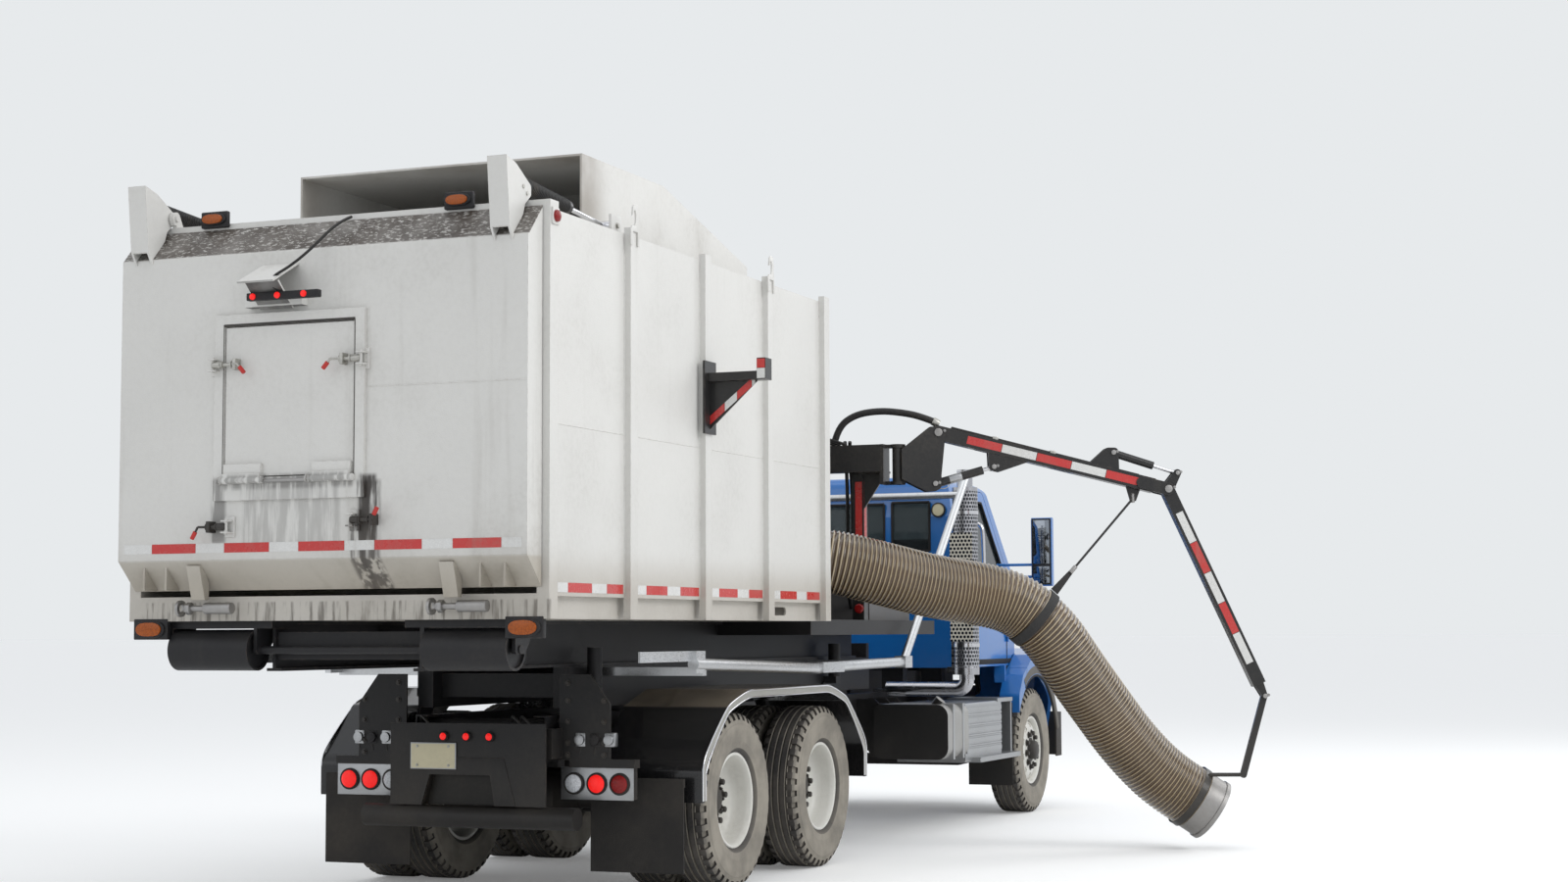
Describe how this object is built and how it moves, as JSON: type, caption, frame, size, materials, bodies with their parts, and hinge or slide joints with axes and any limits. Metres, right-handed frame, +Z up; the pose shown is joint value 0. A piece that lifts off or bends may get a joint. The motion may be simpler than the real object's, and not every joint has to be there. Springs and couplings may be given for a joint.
{
  "type": "leaf vacuum truck",
  "caption": "Bonneted lorry whose tilting bed carries a welded leaf box with a top-hinged gate, a vacuum unit and a hydraulic boom holding a thick ribbed suction hose.",
  "frame": {"origin": "on the ground under the middle of the whole outline, with the boom out to the right", "axes": "+X to the truck's front, +Y to its left, +Z up"},
  "size_m": [10.65, 5.251, 4.197],
  "materials": {
    "blue_paint": "gloss",
    "box_paint": "satin",
    "frame_black": "satin",
    "bumper_black": "satin",
    "boom_black": "satin",
    "rod_chrome": "polished",
    "stack_chrome": "polished",
    "aluminium": "satin",
    "tyre": "matte",
    "roller_black": "satin",
    "rubber": "matte",
    "grille_black": "matte",
    "lamp_clear": "gloss",
    "lamp_red": "gloss",
    "engine_grey": "matte",
    "trim_grey": "matte",
    "unit_grey": "satin",
    "hose_tan": "satin",
    "nozzle_steel": "satin"
  },
  "bodies": {
    "chassis": {"chassis_frame": "frame_black", "front_bumper": "bumper_black", "rear_bogie": "frame_black", "front_axle": "frame_black", "engine_block": "engine_grey", "fuel_tanks": "aluminium", "side_steps": "aluminium", "cab_shell": "blue_paint", "cab_interior": "trim_grey", "exhaust_stack": "stack_chrome", "tandem_fenders": "bumper_black", "mud_flaps": "rubber", "tail_apron": "frame_black", "tail_lamps": "lamp_red"},
    "knuckle_left": {"knuckle_left": "frame_black"},
    "knuckle_right": {"knuckle_right": "frame_black"},
    "door_left": {"door_left": "blue_paint", "mirror_left": "frame_black"},
    "door_right": {"door_right": "blue_paint", "mirror_right": "frame_black"},
    "nose": {"hood": "blue_paint", "grille": "grille_black", "headlamps": "lamp_clear"},
    "bed": {"hoist_bed": "frame_black", "skid_frame": "frame_black", "container": "box_paint", "roof_hood": "box_paint", "boom_rest": "box_paint", "vac_enclosure": "unit_grey", "oil_tank": "unit_grey", "vac_blower": "unit_grey", "boom_mount": "boom_black", "tarp_arms": "aluminium", "hose_1": "hose_tan"},
    "ground_rollers": {"ground_rollers": "roller_black"},
    "tailgate": {"tailgate": "box_paint", "gate_light_bar": "frame_black"},
    "access_door": {"access_door": "box_paint"},
    "gate_barrels": {"gate_barrels": "boom_black"},
    "gate_rods": {"gate_rods": "rod_chrome"},
    "hoist_barrels": {"hoist_barrels": "boom_black"},
    "hoist_rods": {"hoist_rods": "rod_chrome"},
    "mast": {"mast": "boom_black", "hose_2": "hose_tan"},
    "main_boom": {"main_boom": "boom_black", "hose_3": "hose_tan"},
    "outer_arm": {"outer_arm": "boom_black", "hose_4": "hose_tan"},
    "tip": {"tip_link": "boom_black", "nozzle": "nozzle_steel"},
    "lift_barrel": {"lift_barrel": "boom_black"},
    "lift_rod": {"lift_rod": "rod_chrome"},
    "elbow_barrel": {"elbow_barrel": "boom_black"},
    "elbow_rod": {"elbow_rod": "rod_chrome"},
    "wheel_front_left": {"wheel_front_left": "tyre"},
    "wheel_front_right": {"wheel_front_right": "tyre"},
    "wheel_mid_left": {"wheel_mid_left": "tyre"},
    "wheel_mid_right": {"wheel_mid_right": "tyre"},
    "wheel_rear_left": {"wheel_rear_left": "tyre"},
    "wheel_rear_right": {"wheel_rear_right": "tyre"}
  },
  "joints": [
    {"name": "steer_left", "type": "hinge", "parent": "chassis", "child": "knuckle_left", "pos_m": [4.205, 1.9955, 0.5225], "axis": [0, 0, 1], "range_deg": [-35, 35]},
    {"name": "steer_right", "type": "hinge", "parent": "chassis", "child": "knuckle_right", "pos_m": [4.205, 0.2355, 0.5225], "axis": [0, 0, 1], "range_deg": [-35, 35]},
    {"name": "wheel_front_left_spin", "type": "hinge", "parent": "knuckle_left", "child": "wheel_front_left", "pos_m": [4.205, 2.1655, 0.5225], "axis": [0, 1, 0], "continuous": true},
    {"name": "wheel_front_right_spin", "type": "hinge", "parent": "knuckle_right", "child": "wheel_front_right", "pos_m": [4.205, 0.0655, 0.5225], "axis": [0, 1, 0], "continuous": true},
    {"name": "wheel_mid_left_spin", "type": "hinge", "parent": "chassis", "child": "wheel_mid_left", "pos_m": [-0.905, 2.0345, 0.5225], "axis": [0, 1, 0], "continuous": true},
    {"name": "wheel_mid_right_spin", "type": "hinge", "parent": "chassis", "child": "wheel_mid_right", "pos_m": [-0.905, 0.1965, 0.5225], "axis": [0, 1, 0], "continuous": true},
    {"name": "wheel_rear_left_spin", "type": "hinge", "parent": "chassis", "child": "wheel_rear_left", "pos_m": [-2.341, 2.0345, 0.5225], "axis": [0, 1, 0], "continuous": true},
    {"name": "wheel_rear_right_spin", "type": "hinge", "parent": "chassis", "child": "wheel_rear_right", "pos_m": [-2.341, 0.1965, 0.5225], "axis": [0, 1, 0], "continuous": true},
    {"name": "door_left_hinge", "type": "hinge", "parent": "chassis", "child": "door_left", "pos_m": [3.925, 2.1615, 1.48], "axis": [0, 0, -1], "range_deg": [0, 70]},
    {"name": "door_right_hinge", "type": "hinge", "parent": "chassis", "child": "door_right", "pos_m": [3.925, 0.0695, 1.48], "axis": [0, 0, 1], "range_deg": [0, 70]},
    {"name": "hood_tilt", "type": "hinge", "parent": "chassis", "child": "nose", "pos_m": [5.123, 1.1155, 0.832], "axis": [0, 1, 0], "range_deg": [0, 60]},
    {"name": "bed_tilt", "type": "hinge", "parent": "chassis", "child": "bed", "pos_m": [-3.175, 1.1155, 1], "axis": [0, -1, 0], "range_deg": [0, 45]},
    {"name": "hoist_barrel_pivot", "type": "hinge", "parent": "chassis", "child": "hoist_barrels", "pos_m": [-1.325, 1.1155, 0.8], "axis": [0, -1, 0], "range_deg": [0, 68.43]},
    {"name": "hoist_rod_slide", "type": "slide", "parent": "hoist_barrels", "child": "hoist_rods", "axis": [0.9968, 0, 0.0802], "range_m": [0, 0.892]},
    {"name": "tailgate_hinge", "type": "hinge", "parent": "bed", "child": "tailgate", "pos_m": [-4.925, 1.1155, 3.79], "axis": [0, 1, 0], "range_deg": [0, 80]},
    {"name": "gate_barrel_pivot", "type": "hinge", "parent": "tailgate", "child": "gate_barrels", "pos_m": [-5.1, 1.1155, 3.843], "axis": [0, 1, 0], "range_deg": [-71.08, 0]},
    {"name": "gate_rod_slide", "type": "slide", "parent": "gate_barrels", "child": "gate_rods", "axis": [0.9976, 0, -0.0699], "range_m": [-0.1603, 0]},
    {"name": "access_door_hinge", "type": "hinge", "parent": "tailgate", "child": "access_door", "pos_m": [-5.125, 1.1155, 2.332], "axis": [0, -1, 0], "range_deg": [0, 95]},
    {"name": "ground_roller_spin", "type": "hinge", "parent": "bed", "child": "ground_rollers", "pos_m": [-4.813, 1.1155, 1.443], "axis": [0, 1, 0], "continuous": true},
    {"name": "boom_swing", "type": "hinge", "parent": "bed", "child": "mast", "pos_m": [0.131, -0.2755, 2.69], "axis": [0, 0, 1], "range_deg": [-115, 45], "deforming": ["hose_1"]},
    {"name": "boom_lift", "type": "hinge", "parent": "mast", "child": "main_boom", "pos_m": [0.24677, -0.52605, 2.911], "axis": [-0.9078, -0.4195, 0], "range_deg": [0, 40], "deforming": ["hose_2"]},
    {"name": "lift_barrel_pivot", "type": "hinge", "parent": "mast", "child": "lift_barrel", "pos_m": [0.23712, -0.50517, 2.553], "axis": [-0.9078, -0.4195, 0], "range_deg": [0, 26.31]},
    {"name": "lift_rod_slide", "type": "slide", "parent": "lift_barrel", "child": "lift_rod", "axis": [0.4032, -0.8726, 0.2756], "range_m": [0, 0.2143]},
    {"name": "boom_elbow", "type": "hinge", "parent": "main_boom", "child": "outer_arm", "pos_m": [0.9246, -1.99301, 2.515], "axis": [-0.9078, -0.4195, 0], "range_deg": [-15, 60], "deforming": ["hose_3"]},
    {"name": "elbow_barrel_pivot", "type": "hinge", "parent": "main_boom", "child": "elbow_barrel", "pos_m": [0.76479, -1.64715, 2.772], "axis": [-0.9078, -0.4195, 0], "range_deg": [-3.11, 0.85]},
    {"name": "elbow_rod_slide", "type": "slide", "parent": "elbow_barrel", "child": "elbow_rod", "axis": [0.3995, -0.8646, -0.3048], "range_m": [-0.1281, 0.0328]},
    {"name": "tip_swing", "type": "hinge", "parent": "outer_arm", "child": "tip", "pos_m": [1.20186, -2.59306, 1.069], "axis": [-0.9078, -0.4195, 0], "range_deg": [-15, 15], "deforming": ["hose_4"]}
  ],
  "couplings": [
    {"joint": "steer_right", "follows": "steer_left", "ratio": 1},
    {"joint": "hoist_barrel_pivot", "follows": "bed_tilt", "ratio": 1.5185},
    {"joint": "hoist_rod_slide", "follows": "bed_tilt", "m_per_rad": 1.1345},
    {"joint": "gate_barrel_pivot", "follows": "tailgate_hinge", "ratio": -0.8873},
    {"joint": "gate_rod_slide", "follows": "tailgate_hinge", "m_per_rad": -0.1141},
    {"joint": "lift_barrel_pivot", "follows": "boom_lift", "ratio": 0.6552},
    {"joint": "lift_rod_slide", "follows": "boom_lift", "m_per_rad": 0.3055},
    {"joint": "elbow_barrel_pivot", "follows": "boom_elbow", "ratio": -0.0502},
    {"joint": "elbow_rod_slide", "follows": "boom_elbow", "m_per_rad": -0.1214}
  ]
}
